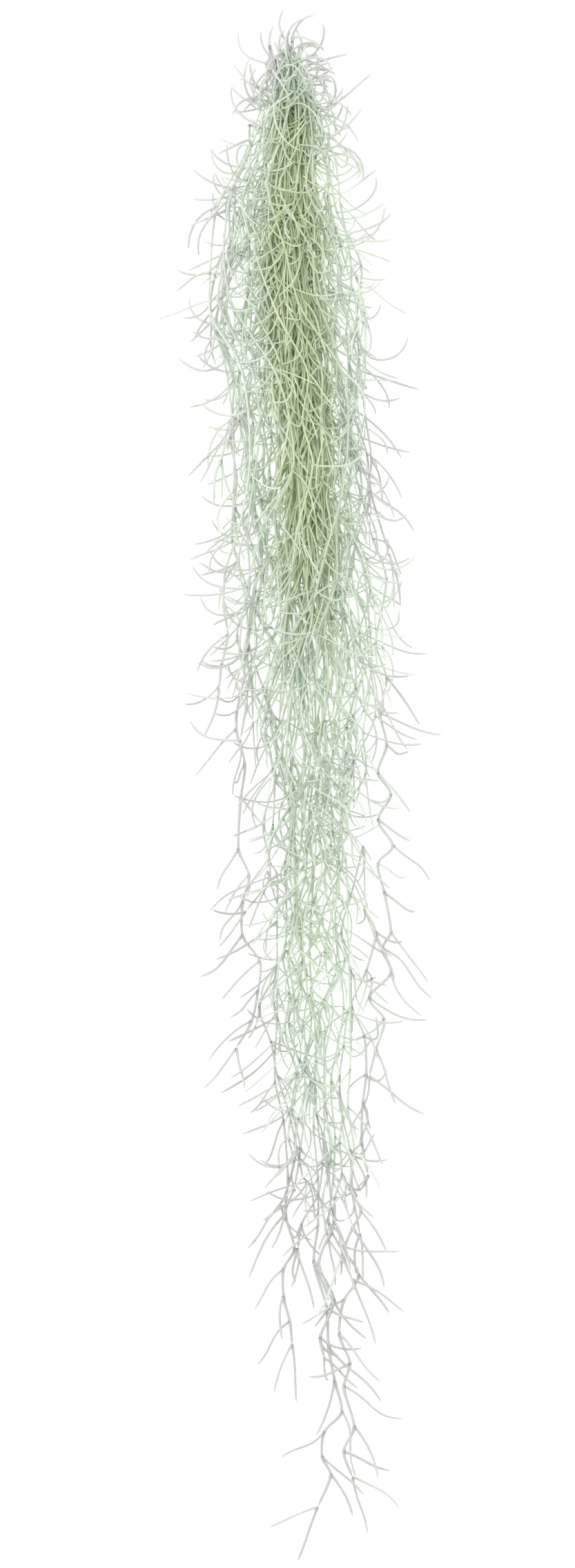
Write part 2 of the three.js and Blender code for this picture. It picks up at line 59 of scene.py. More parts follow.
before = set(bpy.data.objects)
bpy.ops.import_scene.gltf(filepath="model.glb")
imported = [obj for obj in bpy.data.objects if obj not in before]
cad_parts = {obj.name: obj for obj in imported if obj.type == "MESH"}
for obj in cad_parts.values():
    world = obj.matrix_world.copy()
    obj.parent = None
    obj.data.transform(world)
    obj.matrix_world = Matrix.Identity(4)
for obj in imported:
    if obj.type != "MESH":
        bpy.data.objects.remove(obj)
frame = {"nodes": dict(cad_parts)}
cad_low, cad_high = (np.array(corner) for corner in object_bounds())
print(len(frame["nodes"]), "strands, box in mm:", ((cad_high - cad_low) / MM).round(1))

# %% [markdown]
# ## The camera
#
# The bunch is seen from straight above, gathered end up. A long lens far away keeps its length true:
# near the camera, the raised middle of the bunch would look larger than its ends. An orthographic
# camera has no such error either, but it also loses the trace of depth that a real lens leaves. The
# lens follows from the distance, because a sensor of 36 mm has to take in the whole length of the view.

# %% The camera
VIEW_LENGTH = 727.4 * MM  # real length from the upper to the lower edge of the view
VIEW_MIDDLE = (-10.1 * MM, 0.5 * MM, 15 * MM)  # what the camera looks at, in the middle of the threads
CAMERA_DISTANCE = 3.0
SENSOR = 36.0  # mm, along the picture's height
SIGHT = 60.0  # how far the camera sees, which takes in the whole table

camera_data = bpy.data.cameras.new("camera")
camera_data.sensor_fit = "VERTICAL"
camera_data.sensor_height = SENSOR
camera_data.lens = SENSOR * CAMERA_DISTANCE / VIEW_LENGTH
camera_data.clip_end = SIGHT
camera = bpy.data.objects.new("camera", camera_data)
camera.location = (VIEW_MIDDLE[0], VIEW_MIDDLE[1], VIEW_MIDDLE[2] + CAMERA_DISTANCE)
bpy.context.scene.collection.objects.link(camera)
bpy.context.scene.camera = camera
print("camera lens", round(camera_data.lens, 1), "mm")

# %% [markdown]
# ## Reading the strands from the solids
#
# A node's mesh is loose triangles. Welded, it is a closed skin in which every thread has three
# corners round it, so the threads can be followed from ring to ring. A leaf tip is the only kind of
# point with just three neighbours. Its neighbours are the leaf's last ring, their neighbours the
# ring before, and so on down to the face of the stem that the leaf grew from. A table of which
# point touches which makes each step one look-up. The lines could also be copied here as a list of
# places, but then a change of the model would leave them behind.

# %% Weld a node and list which points touch
def welded(node):
    """The node's shared points, and its triangles as numbers of points. Corners that round to the
    same micrometre are one point."""
    mesh = node.data
    corners = np.empty(len(mesh.vertices) * 3)
    mesh.vertices.foreach_get("co", corners)
    order = np.empty(len(mesh.loops), np.int64)
    mesh.loops.foreach_get("vertex_index", order)
    points, shared = np.unique(np.round(corners.reshape(-1, 3), 6), axis=0, return_inverse=True)
    return points, shared.ravel()[order].reshape(-1, 3)


def touching(triangles, count):
    """A square table that is true where two points share an edge of a triangle."""
    table = np.zeros((count, count), bool)
    for one, other in ((0, 1), (1, 2), (2, 0)):
        table[triangles[:, one], triangles[:, other]] = True
        table[triangles[:, other], triangles[:, one]] = True
    return table


def next_ring(table, ring, used):
    """All the points that touch the ring and aren't used yet."""
    return table[ring].any(0) & ~used


sample = min(frame["nodes"])
sample_points, sample_triangles = welded(frame["nodes"][sample])
print(sample, "has", len(sample_points), "points and", len(sample_triangles), "triangles")

# %% Follow the leaves and the stem
JOINT_GAP = 3 * MM  # the two rings of a joint are closer than this, and two joints are further apart
LEAF_RINGS = 3  # a leaf has up to this many rings, with the face it grows from


def leaf_rings(table, tip):
    """The rings of a leaf from its tip to its root, each a mask over the points."""
    rings = [np.arange(len(table)) == tip]
    used = rings[0].copy()
    for _ in range(LEAF_RINGS):
        ring = next_ring(table, rings[-1], used)
        if ring.sum() != 3:
            break
        rings.append(ring)
        used |= ring
    return rings


def stem_rings(table, leaves):
    """The rings of three points that the stem is made of, from one end leaf's root to the other's."""
    on_leaves = np.any([ring for leaf in leaves for ring in leaf[:-1]], axis=0)
    ends = [leaf[-1] for leaf in leaves if next_ring(table, leaf[-1], on_leaves | leaf[-1]).sum() == 3]
    rings = [ends[0]]
    used = on_leaves | ends[0]
    ring = next_ring(table, ends[0], used)
    while ring.any():
        rings.append(ring)
        used |= ring
        ring = next_ring(table, ring, used)
    return rings


def read_strand(node):
    """The strand's joints from its upper end down, and each leaf's centre line from root to tip."""
    points, triangles = welded(node)
    table = touching(triangles, len(points))
    leaves = [leaf_rings(table, tip) for tip in np.flatnonzero(table.sum(1) == 3)]
    centres = np.array([points[ring].mean(0) for ring in stem_rings(table, leaves)])
    if centres[0, 1] < centres[-1, 1]:
        centres = centres[::-1]
    apart = np.linalg.norm(np.diff(centres, axis=0), axis=1) > JOINT_GAP
    joint = np.concatenate(([0], np.cumsum(apart)))
    joints = np.array([centres[joint == number].mean(0) for number in range(joint[-1] + 1)])
    lines = [np.array([points[ring].mean(0) for ring in reversed(leaf)]) for leaf in leaves]
    return joints, lines


strands = {name: read_strand(node) for name, node in sorted(frame["nodes"].items())}
print(sum(len(joints) for joints, _ in strands.values()), "joints and",
      sum(len(lines) for _, lines in strands.values()), "leaves read")

# %% [markdown]
# ## Smooth lines through the points read
#
# A solid's leaf is two or three straight pieces. The real one is one even curve, so each leaf gets
# the simplest smooth curve through its points, sampled at the places where rings of the thread will
# be. A stem is nearly straight from joint to joint and bends at the joints. One smooth curve through
# all its joints would swing out between them, so it is a chain of arcs, whose direction at a joint is
# halfway between those of its two neighbours.

# %% Curves
TINY = 1e-9  # no length is taken to be less than this, so that nothing is divided by zero
# Places of the rings along a leaf, closer together at its foot and at its tip.
LEAF_STEPS = np.array([0, 0.07, 0.19, 0.31, 0.43, 0.55, 0.67, 0.78, 0.89, 0.975, 1.0])
STEM_STEPS = 5  # rings from one joint to the next
JOINT_ROUNDING = 0.85  # how softly a stem turns at its joints: 0 is a sharp kink


def unit(vectors):
    """The same directions with length 1."""
    return vectors / np.maximum(np.linalg.norm(vectors, axis=-1, keepdims=True), TINY)


def leaf_curve(points):
    """The parabola or cubic through three or four points, placed along it by their distances."""
    at = np.concatenate(([0], np.cumsum(np.linalg.norm(np.diff(points, axis=0), axis=1))))
    powers = np.arange(len(points))
    weights = np.linalg.solve((at / at[-1])[:, None] ** powers, points)
    return LEAF_STEPS[:, None] ** powers @ weights


def stem_curve(joints):
    """Cubic arcs from joint to joint. At a joint the curve's direction is the mean of the two
    directions that meet there, and its strength follows the shorter of the two pieces."""
    pieces = np.diff(joints, axis=0)
    lengths = np.linalg.norm(pieces, axis=1)
    before = np.concatenate((pieces[:1], pieces))
    after = np.concatenate((pieces, pieces[-1:]))
    shorter = np.minimum(np.append(lengths[0], lengths), np.append(lengths, lengths[-1]))
    turn = unit(unit(before) + unit(after)) * shorter[:, None] * JOINT_ROUNDING
    t = (np.arange(STEM_STEPS) / STEM_STEPS)[:, None]
    start, end = joints[:-1, None], joints[1:, None]
    leaving, arriving = turn[:-1, None], turn[1:, None]
    arcs = (start * (1 + 2 * t) * (1 - t) ** 2 + end * t**2 * (3 - 2 * t)
            + leaving * t * (1 - t) ** 2 - arriving * t**2 * (1 - t))
    return np.concatenate((arcs.reshape(-1, 3), joints[-1:]))


sample_stem = stem_curve(strands[sample][0])
sample_length = np.linalg.norm(np.diff(sample_stem, axis=0), axis=1).sum()
print("the stem of", sample, "is", round(sample_length / MM), "mm long")

# %% [markdown]
# ## The bunch's own form
#
# A real bunch has a packed middle and a loose outside, wanders a little from side to side and thins
# out towards its end. The model's strands hold that form. At every few millimetres down the bunch,
# the mean place of the strands that pass there is its middle line, how far they are spread about it
# is its width and thickness, and their number says how crowded it is. New strands and the greens of
# the finish follow these measures, so they fit the model without a table of places.

# %% Middle line, spread and crowding
FORM_STEP = 4 * MM
FORM_BLUR = 6  # the measures are evened out over this many steps to each side
FEWEST = 3  # fewer strands than this have no form
LEAST_SPREAD = 2.5 * MM
DOWN = np.arange(0, cad_high[1] - cad_low[1], FORM_STEP)  # distances down from the upper end


def path_of(joints):
    """Where a strand is, sideways and in height, at each distance down. Not a number where it isn't."""
    line = stem_curve(joints)
    down = np.maximum.accumulate(cad_high[1] - line[:, 1])
    return np.stack([np.interp(DOWN, down, line[:, axis], left=np.nan, right=np.nan)
                     for axis in (0, 2)], axis=-1)


def evened(measure):
    """The measure's running mean, with its gaps filled in by straight lines first."""
    known = np.isfinite(measure)
    filled = np.interp(DOWN, DOWN[known], measure[known])
    padded = np.pad(filled, FORM_BLUR, mode="edge")
    return np.convolve(padded, np.ones(2 * FORM_BLUR + 1) / (2 * FORM_BLUR + 1), mode="valid")


class Form:
    """The form of a group of strands at any distance down, evened out along the bunch. Its middle line
    is the mean place of the strands that pass there, sideways and in height, its spread is the root of
    their mean squared distance from that line, and its crowding is the share of all its strands that
    pass."""

    def __init__(self, names):
        paths = np.array([path_of(strands[name][0]) for name in names])
        known = np.isfinite(paths[..., 0])
        passing = known.sum(0)
        count = np.where(passing < FEWEST, np.nan, passing)
        paths = np.where(known[..., None], paths, 0)
        self.lines, self.spreads = [], []
        for k in (0, 1):
            line = evened(paths[..., k].sum(0) / count)
            apart = np.where(known, paths[..., k] - line, 0)
            self.lines.append(line)
            self.spreads.append(evened(np.maximum(np.sqrt((apart**2).sum(0) / count), LEAST_SPREAD)))
        self.crowds = evened(passing / len(names))

    def middle(self, down, k):
        """Where the middle line is at these distances down: sideways for k = 0, in height for k = 1."""
        return np.interp(down, DOWN, self.lines[k])

    def spread(self, down, k):
        """How far strands usually are from the middle line, sideways or in height."""
        return np.interp(down, DOWN, self.spreads[k])

    def crowding(self, down):
        """The share of the group's strands that pass at these distances down."""
        return np.interp(down, DOWN, self.crowds)


def slot_of(name):
    """The record's material slot that a node of the model wears."""
    return frame["nodes"][name].data.materials[0].name


def names_in(slot):
    """The model's strands that wear this material slot."""
    return [name for name in strands if slot_of(name) == slot]


core, whole = Form(names_in("core_moss")), Form([name for name in strands if "stray" not in name])
for label, form in (("core", core), ("whole", whole)):
    for down in np.array([60, 160, 260, 360, 460, 560]) * MM:
        print(f"{down / MM:.0f} mm down, {label}: at {form.middle(down, 0) / MM:.1f}, spread "
              f"{form.spread(down, 0) / MM:.1f} and {form.spread(down, 1) / MM:.1f} mm, "
              f"crowding {form.crowding(down):.2f}")

# %% [markdown]
# ## Shelter
#
# The outer threads of a living bunch stand in the light. They keep a thick coat of silvery scales, which
# makes them grey and a little stouter. Threads that others cover have a thinner coat and show their
# green, most of all in the imported core. Their colour is also made greener and deeper as painted
# shade, standing for the shade that the covering strands cast. One number, the shelter, says how covered
# a point is. It could be measured with rays sent out from every point, but a bell curve over the bunch's
# own form gives the same picture in one sum, and it changes evenly from place to place. Both the
# threads' thickness and their colour follow it.

# %% Shelter
CORE_REACH, WHOLE_REACH = 2.1, 2.2  # widths of the two bell curves, in spreads
LEAST_CORE = 6 * MM  # in the neck, the core's spread is taken to be at least this
CROWN = (0, 40 * MM)  # distances down between which the open crown passes into the sheltered neck
SINGLE, TOGETHER = 0.03, 0.3  # crowdings at which strands hang singly, and quite together
THINNED, FULL = 0.5, 1.0  # crowdings at which the core's middle lies open, and is quite packed


def share_between(values, low, high):
    """0 where a value is low or less, 1 where it is high or more, and eased in between: three times the
    square of the share of the way, less twice its cube."""
    share = np.clip((values - low) / (high - low), 0, 1)
    return share * share * (3 - 2 * share)


def bell(points, down, form, reach, least=0.0):
    """A bell curve: e to minus the square of the distance sideways from the form's middle line, where
    reach spreads count as 1."""
    away = (points[:, 0] - form.middle(down, 0)) / np.maximum(form.spread(down, 0), least)
    return np.exp(-(away / reach) ** 2)


def shelter(points):
    """How sheltered points are: half of it is how far they are inside the bunch, where its strands
    hang together, and half is how far they are inside its packed core."""
    down = cad_high[1] - points[:, 1]
    inside = bell(points, down, whole, WHOLE_REACH)
    inside = inside * share_between(whole.crowding(down), SINGLE, TOGETHER)
    packed = bell(points, down, core, CORE_REACH, LEAST_CORE)
    packed = packed * share_between(core.crowding(down), THINNED, FULL)
    return (inside + packed) * share_between(down, *CROWN) / 2


across = np.array([[side, cad_high[1] - 160 * MM, 0] for side in np.arange(-40, 50, 10) * MM])
print("shelter across the bunch, 160 mm down:", shelter(across).round(2))

# %% [markdown]
# ## Threads
#
# Every stem and leaf is a round thread: a ring of corners carried along its line, thick where a leaf
# wraps the stem and drawn in to a point at its very tip. All threads of one kind are worked out
# together as whole arrays. Three numbers go with each corner for the finish: how far along its leaf it
# is, its shelter, and the thread's own tone, because no two threads of a bunch have quite the same
# colour. A curve with a bevel would be quicker to set up, but it carries no such numbers.

# %% Rings along a line
SIDES = 5  # corners round a thread
LEAF_RADIUS, STEM_RADIUS = 0.39 * MM, 0.43 * MM  # where the thread is covered by others
STOUTER = 0.6  # how much thicker a thread is in the open, where its coat of scales is full
COVERED = 0.25  # the shelter from which a thread has its least thickness
LEAF_SHAPE = np.array([1.25, 1.08, 1, 1, 1, 1, 0.98, 0.96, 0.92, 0.62, 0])  # thickness at each of the steps
SHEATH = 0.3  # how much thicker a stem is where a leaf's foot wraps it
SHEATH_FADE = 0.25  # share of the way to the next joint over which most of that goes
RIPPLE = 0.018  # usual size of a leaf's ripples, as a share of its length
NEARLY_STRAIGHT = 0.02  # a line that bends by less than this share of its length has no plane of its own
OFF_LEVEL = 0.2  # a little of a second direction, for a line that stands upright
TABLE_CLEARANCE = 0.05 * MM


def crosswise(lines):
    """For each line, a direction that none of its pieces runs along: the cross product of the chords
    to its end and to its middle, so across the plane that it bends in, or level for a straight one."""
    chord = lines[:, -1] - lines[:, 0]
    middle = lines[:, lines.shape[1] // 2] - lines[:, 0]
    length = np.maximum(np.linalg.norm(chord, axis=1, keepdims=True), TINY)
    level = np.cross(chord, [0, 0, 1.0]) + OFF_LEVEL * np.cross(chord, [1.0, 0, 0])
    return unit(np.cross(chord, middle) / length + NEARLY_STRAIGHT * unit(level) * length)


def rings_along(lines, radii, steady):
    """Rings of corners round each point of each line. A ring lies square to the line's direction, and
    its first corner points towards steady, less what of it runs along the line."""
    forward = unit(np.gradient(lines, axis=1))
    across = unit(steady - (steady * forward).sum(-1, keepdims=True) * forward)
    upright = np.cross(forward, across)
    angle = np.arange(SIDES) / SIDES * 2 * np.pi
    circle = (np.cos(angle)[:, None] * across[:, :, None] + np.sin(angle)[:, None] * upright[:, :, None])
    return lines[:, :, None] + circle * radii[..., None, None]


print("a leaf has", len(LEAF_STEPS) - 1, "rings of", SIDES, "corners, and in the open it is usually",
      round(2 * LEAF_RADIUS * (1 + STOUTER) / MM, 2), "mm thick")

# %% A skin collects threads and becomes one mesh
class Skin:
    """Threads that become one mesh, with their tones and places along the leaf."""

    def __init__(self):
        self.corners, self.quads, self.ends = [], [], []
        self.tones, self.places = [], []
        self.count = 0

    def add(self, lines, radii, tones, places, steady):
        """Adds threads that all have the same number of rings. Each gets a closing point at both
        ends. tones holds one number a thread, and places one a ring."""
        many, rings = lines.shape[:2]
        lines = lines.copy()
        lines[..., 2] = np.maximum(lines[..., 2], radii + TABLE_CLEARANCE)
        body = rings_along(lines[:, :-1], radii[:, :-1], steady).reshape(many, -1, 3)
        self.corners.append(np.concatenate((body, lines[:, :1], lines[:, -1:]), axis=1).reshape(-1, 3))
        self.join(many, rings - 1)
        self.tones.append(np.repeat(tones, body.shape[1] + 2))
        beside = np.repeat(places[:-1], SIDES)
        self.places.append(np.tile(np.concatenate((beside, places[:1], places[-1:])), many))

    def join(self, many, rings):
        """Quads from ring to ring, and triangles from the two closing points to the end rings."""
        size = rings * SIDES + 2
        first = self.count + np.arange(many)[:, None, None] * size
        side = np.arange(SIDES)
        after = (side + 1) % SIDES
        ring = np.arange(rings - 1)[:, None] * SIDES
        quads = np.stack((ring + side, ring + after, ring + SIDES + after, ring + SIDES + side), axis=-1)
        self.quads.append((first[..., None] + quads).reshape(-1, 4))
        last = (rings - 1) * SIDES
        start = np.stack((np.full(SIDES, size - 2), after, side), axis=-1)
        finish = np.stack((np.full(SIDES, size - 1), last + side, last + after), axis=-1)
        self.ends.append((first + np.concatenate((start, finish))).reshape(-1, 3))
        self.count += many * size

    def mesh(self, name):
        """The finished mesh: smooth faces, and a tone, a place and a shelter for each corner."""
        corners = np.concatenate(self.corners)
        quads, ends = np.concatenate(self.quads), np.concatenate(self.ends)
        made = bpy.data.meshes.new(name)
        made.vertices.add(len(corners))
        made.vertices.foreach_set("co", corners.ravel())
        made.loops.add(quads.size + ends.size)
        made.loops.foreach_set("vertex_index", np.concatenate((quads.ravel(), ends.ravel())))
        starts = np.concatenate((np.arange(len(quads)) * 4, quads.size + np.arange(len(ends)) * 3))
        made.polygons.add(len(starts))
        made.polygons.foreach_set("loop_start", starts)
        numbers = {"tone": np.concatenate(self.tones), "place": np.concatenate(self.places),
                   "shelter": shelter(corners)}
        for label, values in numbers.items():
            made.attributes.new(label, "FLOAT", "POINT").data.foreach_set("value", values)
        made.update(calc_edges=True)
        made.polygons.foreach_set("use_smooth", np.ones(len(starts), bool))
        return made


sample_skin, sample_leaf = Skin(), leaf_curve(strands[sample][1][0])[None]
sample_skin.add(sample_leaf, LEAF_RADIUS * LEAF_SHAPE[None], np.zeros(1), LEAF_STEPS,
                crosswise(sample_leaf)[:, None])
print("the skin of one leaf has", sample_skin.count, "corners")

# %% Grow a strand on given lines
TONE_SPREAD = 0.16  # usual difference between the tones of a leaf and its strand
LEAF_GIRTHS = (0.9, 1.1)  # a leaf is thinner or stouter than usual by up to this


def stem_radii(count):
    """The stem's radius at each ring: a little thicker just below each joint, where a leaf's foot
    wraps it, and falling off exponentially to the plain stem."""
    along = np.arange(count) % STEM_STEPS / STEM_STEPS
    return STEM_RADIUS * (1 + SHEATH * np.exp(-along / SHEATH_FADE))


def rippled(lines, draw):
    """The leaves with a slow ripple. A point moves across its leaf by one sine wave over the leaf's
    length in each of two directions, and by half a wave in the first of them, all of them drawn as
    small shares of the length."""
    aside = crosswise(lines)[:, None]
    other = unit(np.cross(lines[:, -1] - lines[:, 0], aside[:, 0]))[:, None]
    length = np.linalg.norm(lines[:, -1] - lines[:, 0], axis=1)[:, None, None]
    whole_wave, half_wave = np.sin(2 * np.pi * LEAF_STEPS), np.sin(np.pi * LEAF_STEPS)
    sizes = draw.normal(0, RIPPLE, (3, len(lines), 1, 1)) * length
    return (lines + sizes[0] * whole_wave[:, None] * aside + sizes[1] * whole_wave[:, None] * other
            + sizes[2] * half_wave[:, None] * aside)


def stoutness(lines):
    """What a thread's radius is multiplied by at each point of its line: 1 where it is covered, and up
    to 1 plus STOUTER in the open."""
    covered = share_between(shelter(lines.reshape(-1, 3)), 0, COVERED)
    return 1 + STOUTER * (1 - covered.reshape(lines.shape[:2]))


def grow(skin, joints, leaves, tone, draw):
    """Adds one strand: its stem through the joints, and its leaves, an array of lines."""
    leaves = rippled(leaves, draw)
    stem = stem_curve(joints)[None]
    radii = stem_radii(stem.shape[1]) * stoutness(stem)
    skin.add(stem, radii, np.array([tone]), np.zeros(stem.shape[1]), np.array([0, 0, 1.0]))
    tones = np.clip(tone + draw.normal(0, TONE_SPREAD, len(leaves)), 0, 1)
    radii = LEAF_RADIUS * draw.uniform(*LEAF_GIRTHS, (len(leaves), 1)) * LEAF_SHAPE * stoutness(leaves)
    skin.add(leaves, radii, tones, LEAF_STEPS, crosswise(leaves)[:, None])


print("covered stem, radius from a joint on, in mm:", (stem_radii(STEM_STEPS) / MM).round(2))

# %% [markdown]
# ## The strands of the model, grown fine
#
# Each CAD node is replaced by the same strand with round, smooth threads on the same lines. Its own
# mesh could be rounded off with a subdivision modifier, but three-sided threads shrink unevenly in
# it and their joints stay lumps. A leaf starts in the middle of the stem, so its line is drawn back
# a little from the face it grows from.

# %% Fine strands in place of the solids
STRAND_TONES = (0.2, 0.8)  # a strand's own tone lies between these, where 0 is deep and 1 is pale
pieces = {}


def place(name, skin, slot, replaced=()):
    """Makes the skin an object, rides it on the one body, notes its slot and hides the model's parts that
    it replaces.
    """
    piece = bpy.data.objects.new(name, skin.mesh(name))
    bpy.context.scene.collection.objects.link(piece)
    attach(piece, "root")
    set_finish(piece, slot)
    if replaced:
        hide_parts(*replaced)
    pieces[name] = piece


for number, (name, (joints, lines)) in enumerate(strands.items()):
    draw = np.random.default_rng(number)
    leaves = np.array([leaf_curve(line) for line in lines])
    leaves[:, 0] -= unit(leaves[:, 1] - leaves[:, 0]) * STEM_RADIUS
    skin = Skin()
    grow(skin, joints, leaves, draw.uniform(*STRAND_TONES), draw)
    place("fine_" + name, skin, slot_of(name), [name])
print(len(pieces), "strands grown,", sum(len(p.data.polygons) for p in pieces.values()), "faces")

# %% [markdown]
# ## The strands that fill the bunch
#
# A real bunch holds some hundreds of strands, and the ones that the model leaves out lie between those
# that it has. They could be led by a table of places, but then they would no longer fit if the model
# changed. So each new strand keeps one spot in the bunch's own form, measured in spreads from the
# middle line and negative to its left, and sways about it. Strands grow in four habits. In the packed
# core the leaves are combed along their stems, outside it they are curled and make a loose net, at the
# crown they close up to short arcs, and in the tail they are sparse and the stems are kinked. A lock
# is a few such strands that start from neighbouring spots, and it makes one piece.

# %% Four habits of growth
# The distance from joint to joint, how far a joint usually stands aside, the number of leaves at each,
# and for each leaf the angle between it and its stem, how far it bends on, and its length. A pair is
# the least and the most, and the angles are in radians.
COMBED = {"gap": (14 * MM, 24 * MM), "kink": 1.5 * MM, "each": 2, "opening": (0.1, 0.5),
          "bend": (-0.8, 0.8), "length": (24 * MM, 44 * MM)}
CURLED = {"gap": (14 * MM, 24 * MM), "kink": 2.0 * MM, "each": 3, "opening": (0.3, 1.3),
          "bend": (-2.4, 2.4), "length": (16 * MM, 32 * MM)}
SPARSE = {"gap": (11 * MM, 20 * MM), "kink": 2.6 * MM, "each": 2, "opening": (0.4, 1.3),
          "bend": (-1.8, 1.8), "length": (13 * MM, 27 * MM)}
CROWNED = {"gap": (5 * MM, 9 * MM), "kink": 1.5 * MM, "each": 2, "opening": (1.0, 2.4),
           "bend": (-2.6, 2.6), "length": (15 * MM, 28 * MM)}
print("a combed leaf opens by", np.degrees(COMBED["opening"]).round(), "degrees, a curled one by",
      np.degrees(CURLED["opening"]).round())

# %% The joints of a new strand
MOST_JOINTS = 60  # more than any strand has
SWAY_LENGTHS = (70 * MM, 210 * MM)  # a strand's slow waves have lengths between these
SWAY_REACH = 0.28  # in spreads
LYING = 0.6  # share of a kink that is left in height, because the bunch lies flat


def sway(draw, down):
    """The sum of two slow sine waves, each with its own length and phase, at these distances down."""
    lengths, phases = draw.uniform(*SWAY_LENGTHS, (2, 1)), draw.uniform(0, 2 * np.pi, (2, 1))
    return np.sin(2 * np.pi * down / lengths + phases).sum(0)


def new_joints(draw, form, habit, spot, start, stop):
    """Joints from start to stop down the bunch: the form's middle line there, plus the spot and its sway
    times the form's spread, plus a kink of each joint's own."""
    down = start + np.concatenate(([0], np.cumsum(draw.uniform(*habit["gap"], MOST_JOINTS))))
    down = down[down < stop]
    side, height = [form.middle(down, k) + form.spread(down, k) * (spot[k] + SWAY_REACH * sway(draw, down))
                    for k in (0, 1)]
    kinks = draw.normal(0, habit["kink"], (3, len(down))) * np.array([[1], [LYING], [LYING]])
    height = np.maximum(height + kinks[2], STEM_RADIUS)
    return np.stack((side + kinks[0], cad_high[1] - down + kinks[1], height), axis=-1)


sample_joints = new_joints(np.random.default_rng(0), whole, CURLED, (0, 0), 100 * MM, 300 * MM)

# %% The leaves of a new strand
TURN_ROUND = 0.7  # radians that a leaf turns round its stem's line, give or take


def new_leaves(draw, joints, habit):
    """Leaves at the joints. A leaf leaves its stem at an opening angle, bends on by an angle that is
    spread evenly over its length, and turns slowly round the stem's line as it goes."""
    each, opening, bend, length = (habit[key] for key in ("each", "opening", "bend", "length"))
    forward = unit(np.gradient(stem_curve(joints), axis=0))[::STEM_STEPS]
    across = unit(np.cross(forward, [0, 0, 1.0]))
    upright = np.cross(across, forward)
    many = len(joints) * each
    foot, forward, across, upright = (np.repeat(part, each, axis=0)[:, None]
                                      for part in (joints, forward, across, upright))
    first = np.tile(np.arange(each) / each, len(joints)) * 2 * np.pi + draw.uniform(0, 2 * np.pi, many)
    halfway = (LEAF_STEPS[1:] + LEAF_STEPS[:-1]) / 2
    away = draw.uniform(*opening, many)[:, None] + draw.uniform(*bend, many)[:, None] * halfway
    around = first[:, None] + draw.normal(0, TURN_ROUND, many)[:, None] * halfway
    away, around = away[..., None], around[..., None]
    heading = np.cos(away) * forward + np.sin(away) * (np.cos(around) * across
                                                       + LYING * np.sin(around) * upright)
    run = unit(heading) * np.diff(LEAF_STEPS)[:, None] * draw.uniform(*length, many)[:, None, None]
    return foot + np.concatenate((np.zeros((many, 1, 3)), np.cumsum(run, axis=1)), axis=1)


print("and", len(new_leaves(np.random.default_rng(0), sample_joints, CURLED)), "leaves")

# %% Locks of new strands
LOCK_SPREAD = 0.25  # how far the spots of a lock's strands usually are from its middle, in spreads
LOCK_HEIGHTS = (-0.9, 0.9)  # how low or high in the bunch a lock may lie, in spreads


def add_locks(name, slot, form, habit, count, asides, start, stop):
    """Adds one lock of so many strands at each of the places aside of the form's middle line, in
    spreads. Each strand starts anywhere between two distances down, and stops anywhere between two
    more. The counts of strands and places and the lock's own number are the seed of its draws."""
    for number, aside in enumerate(asides):
        draw = np.random.default_rng([count, len(asides), number])
        centre = aside, draw.uniform(*LOCK_HEIGHTS)
        skin = Skin()
        for _ in range(count):
            spot = centre + draw.normal(0, LOCK_SPREAD, 2)
            joints = new_joints(draw, form, habit, spot, draw.uniform(*start), draw.uniform(*stop))
            grow(skin, joints, new_leaves(draw, joints, habit), draw.uniform(0, 1), draw)
        place(f"{name}_{number + 1:02d}", skin, slot)


tail = Form([name for name in names_in("trailing_moss") if "stray" not in name])
add_locks("crown_lock", "outer_moss", whole, CROWNED, count=2, asides=(-0.8, 0.5),
          start=(18 * MM, 28 * MM), stop=(40 * MM, 60 * MM))
add_locks("core_lock", "core_moss", core, COMBED, count=7, asides=(-1.1, -0.6, -0.1, 0.4, 0.9),
          start=(15 * MM, 90 * MM), stop=(140 * MM, 325 * MM))
add_locks("neck_lock", "core_moss", core, CURLED, count=4, asides=(-1.6, 0.2, 1.7),
          start=(30 * MM, 60 * MM), stop=(100 * MM, 190 * MM))
add_locks("left_lock", "outer_moss", whole, CURLED, count=2, asides=(-2.2, -1.8, -1.4),
          start=(35 * MM, 150 * MM), stop=(290 * MM, 430 * MM))
add_locks("right_lock", "outer_moss", whole, CURLED, count=5, asides=(1.7,),
          start=(80 * MM, 200 * MM), stop=(300 * MM, 440 * MM))
add_locks("net_lock", "outer_moss", whole, CURLED, count=3, asides=(-1.0, 0.9),
          start=(290 * MM, 350 * MM), stop=(380 * MM, 450 * MM))
add_locks("tail_lock", "outer_moss", tail, SPARSE, count=2, asides=(-1.6, -0.6, 0.4, 1.4),
          start=(350 * MM, 450 * MM), stop=(450 * MM, 650 * MM))
print(len(pieces), "pieces,", sum(len(p.data.polygons) for p in pieces.values()), "faces")

# %% [markdown]
# ## Finishes
#
# A living strand is olive green under a coat of tiny silvery scales. Where strands cover each other the
# coat is thin and the green shows, and at the outside and towards the ends it is silver grey. The colour
# also grows greener and deeper with the shelter as painted shade, for the shade that covering strands
# cast. So one recipe makes all three finishes, with other greens. The thread's own tone picks between a
# deeper and a paler green, soft patches change it slowly from place to place, leaf tips dry out
# paler, and here and there a piece has withered to straw. The scales are a fine bump, and roughness
# goes up and down with them. A picture wrapped round the threads would show its pixels and its seams
# close by. Noise in the object's own coordinates has neither, and passes from thread to thread.

# %% Sums on shader sockets
class Wire:
    """One output socket of a material. With + - and * it is summed up by Math nodes, also where a plain
    number comes first."""

    def __init__(self, finish, socket):
        self.finish, self.socket = finish, socket

    def math(self, operation, first, second):
        return self.finish.node("Math", {"operation": operation}, {0: first, 1: second})

    def __add__(self, other):
        return self.math("ADD", self, other)

    def __radd__(self, other):
        return self.math("ADD", other, self)

    def __sub__(self, other):
        return self.math("SUBTRACT", self, other)

    def __rsub__(self, other):
        return self.math("SUBTRACT", other, self)

    def __mul__(self, other):
        return self.math("MULTIPLY", self, other)

    def __rmul__(self, other):
        return self.math("MULTIPLY", other, self)


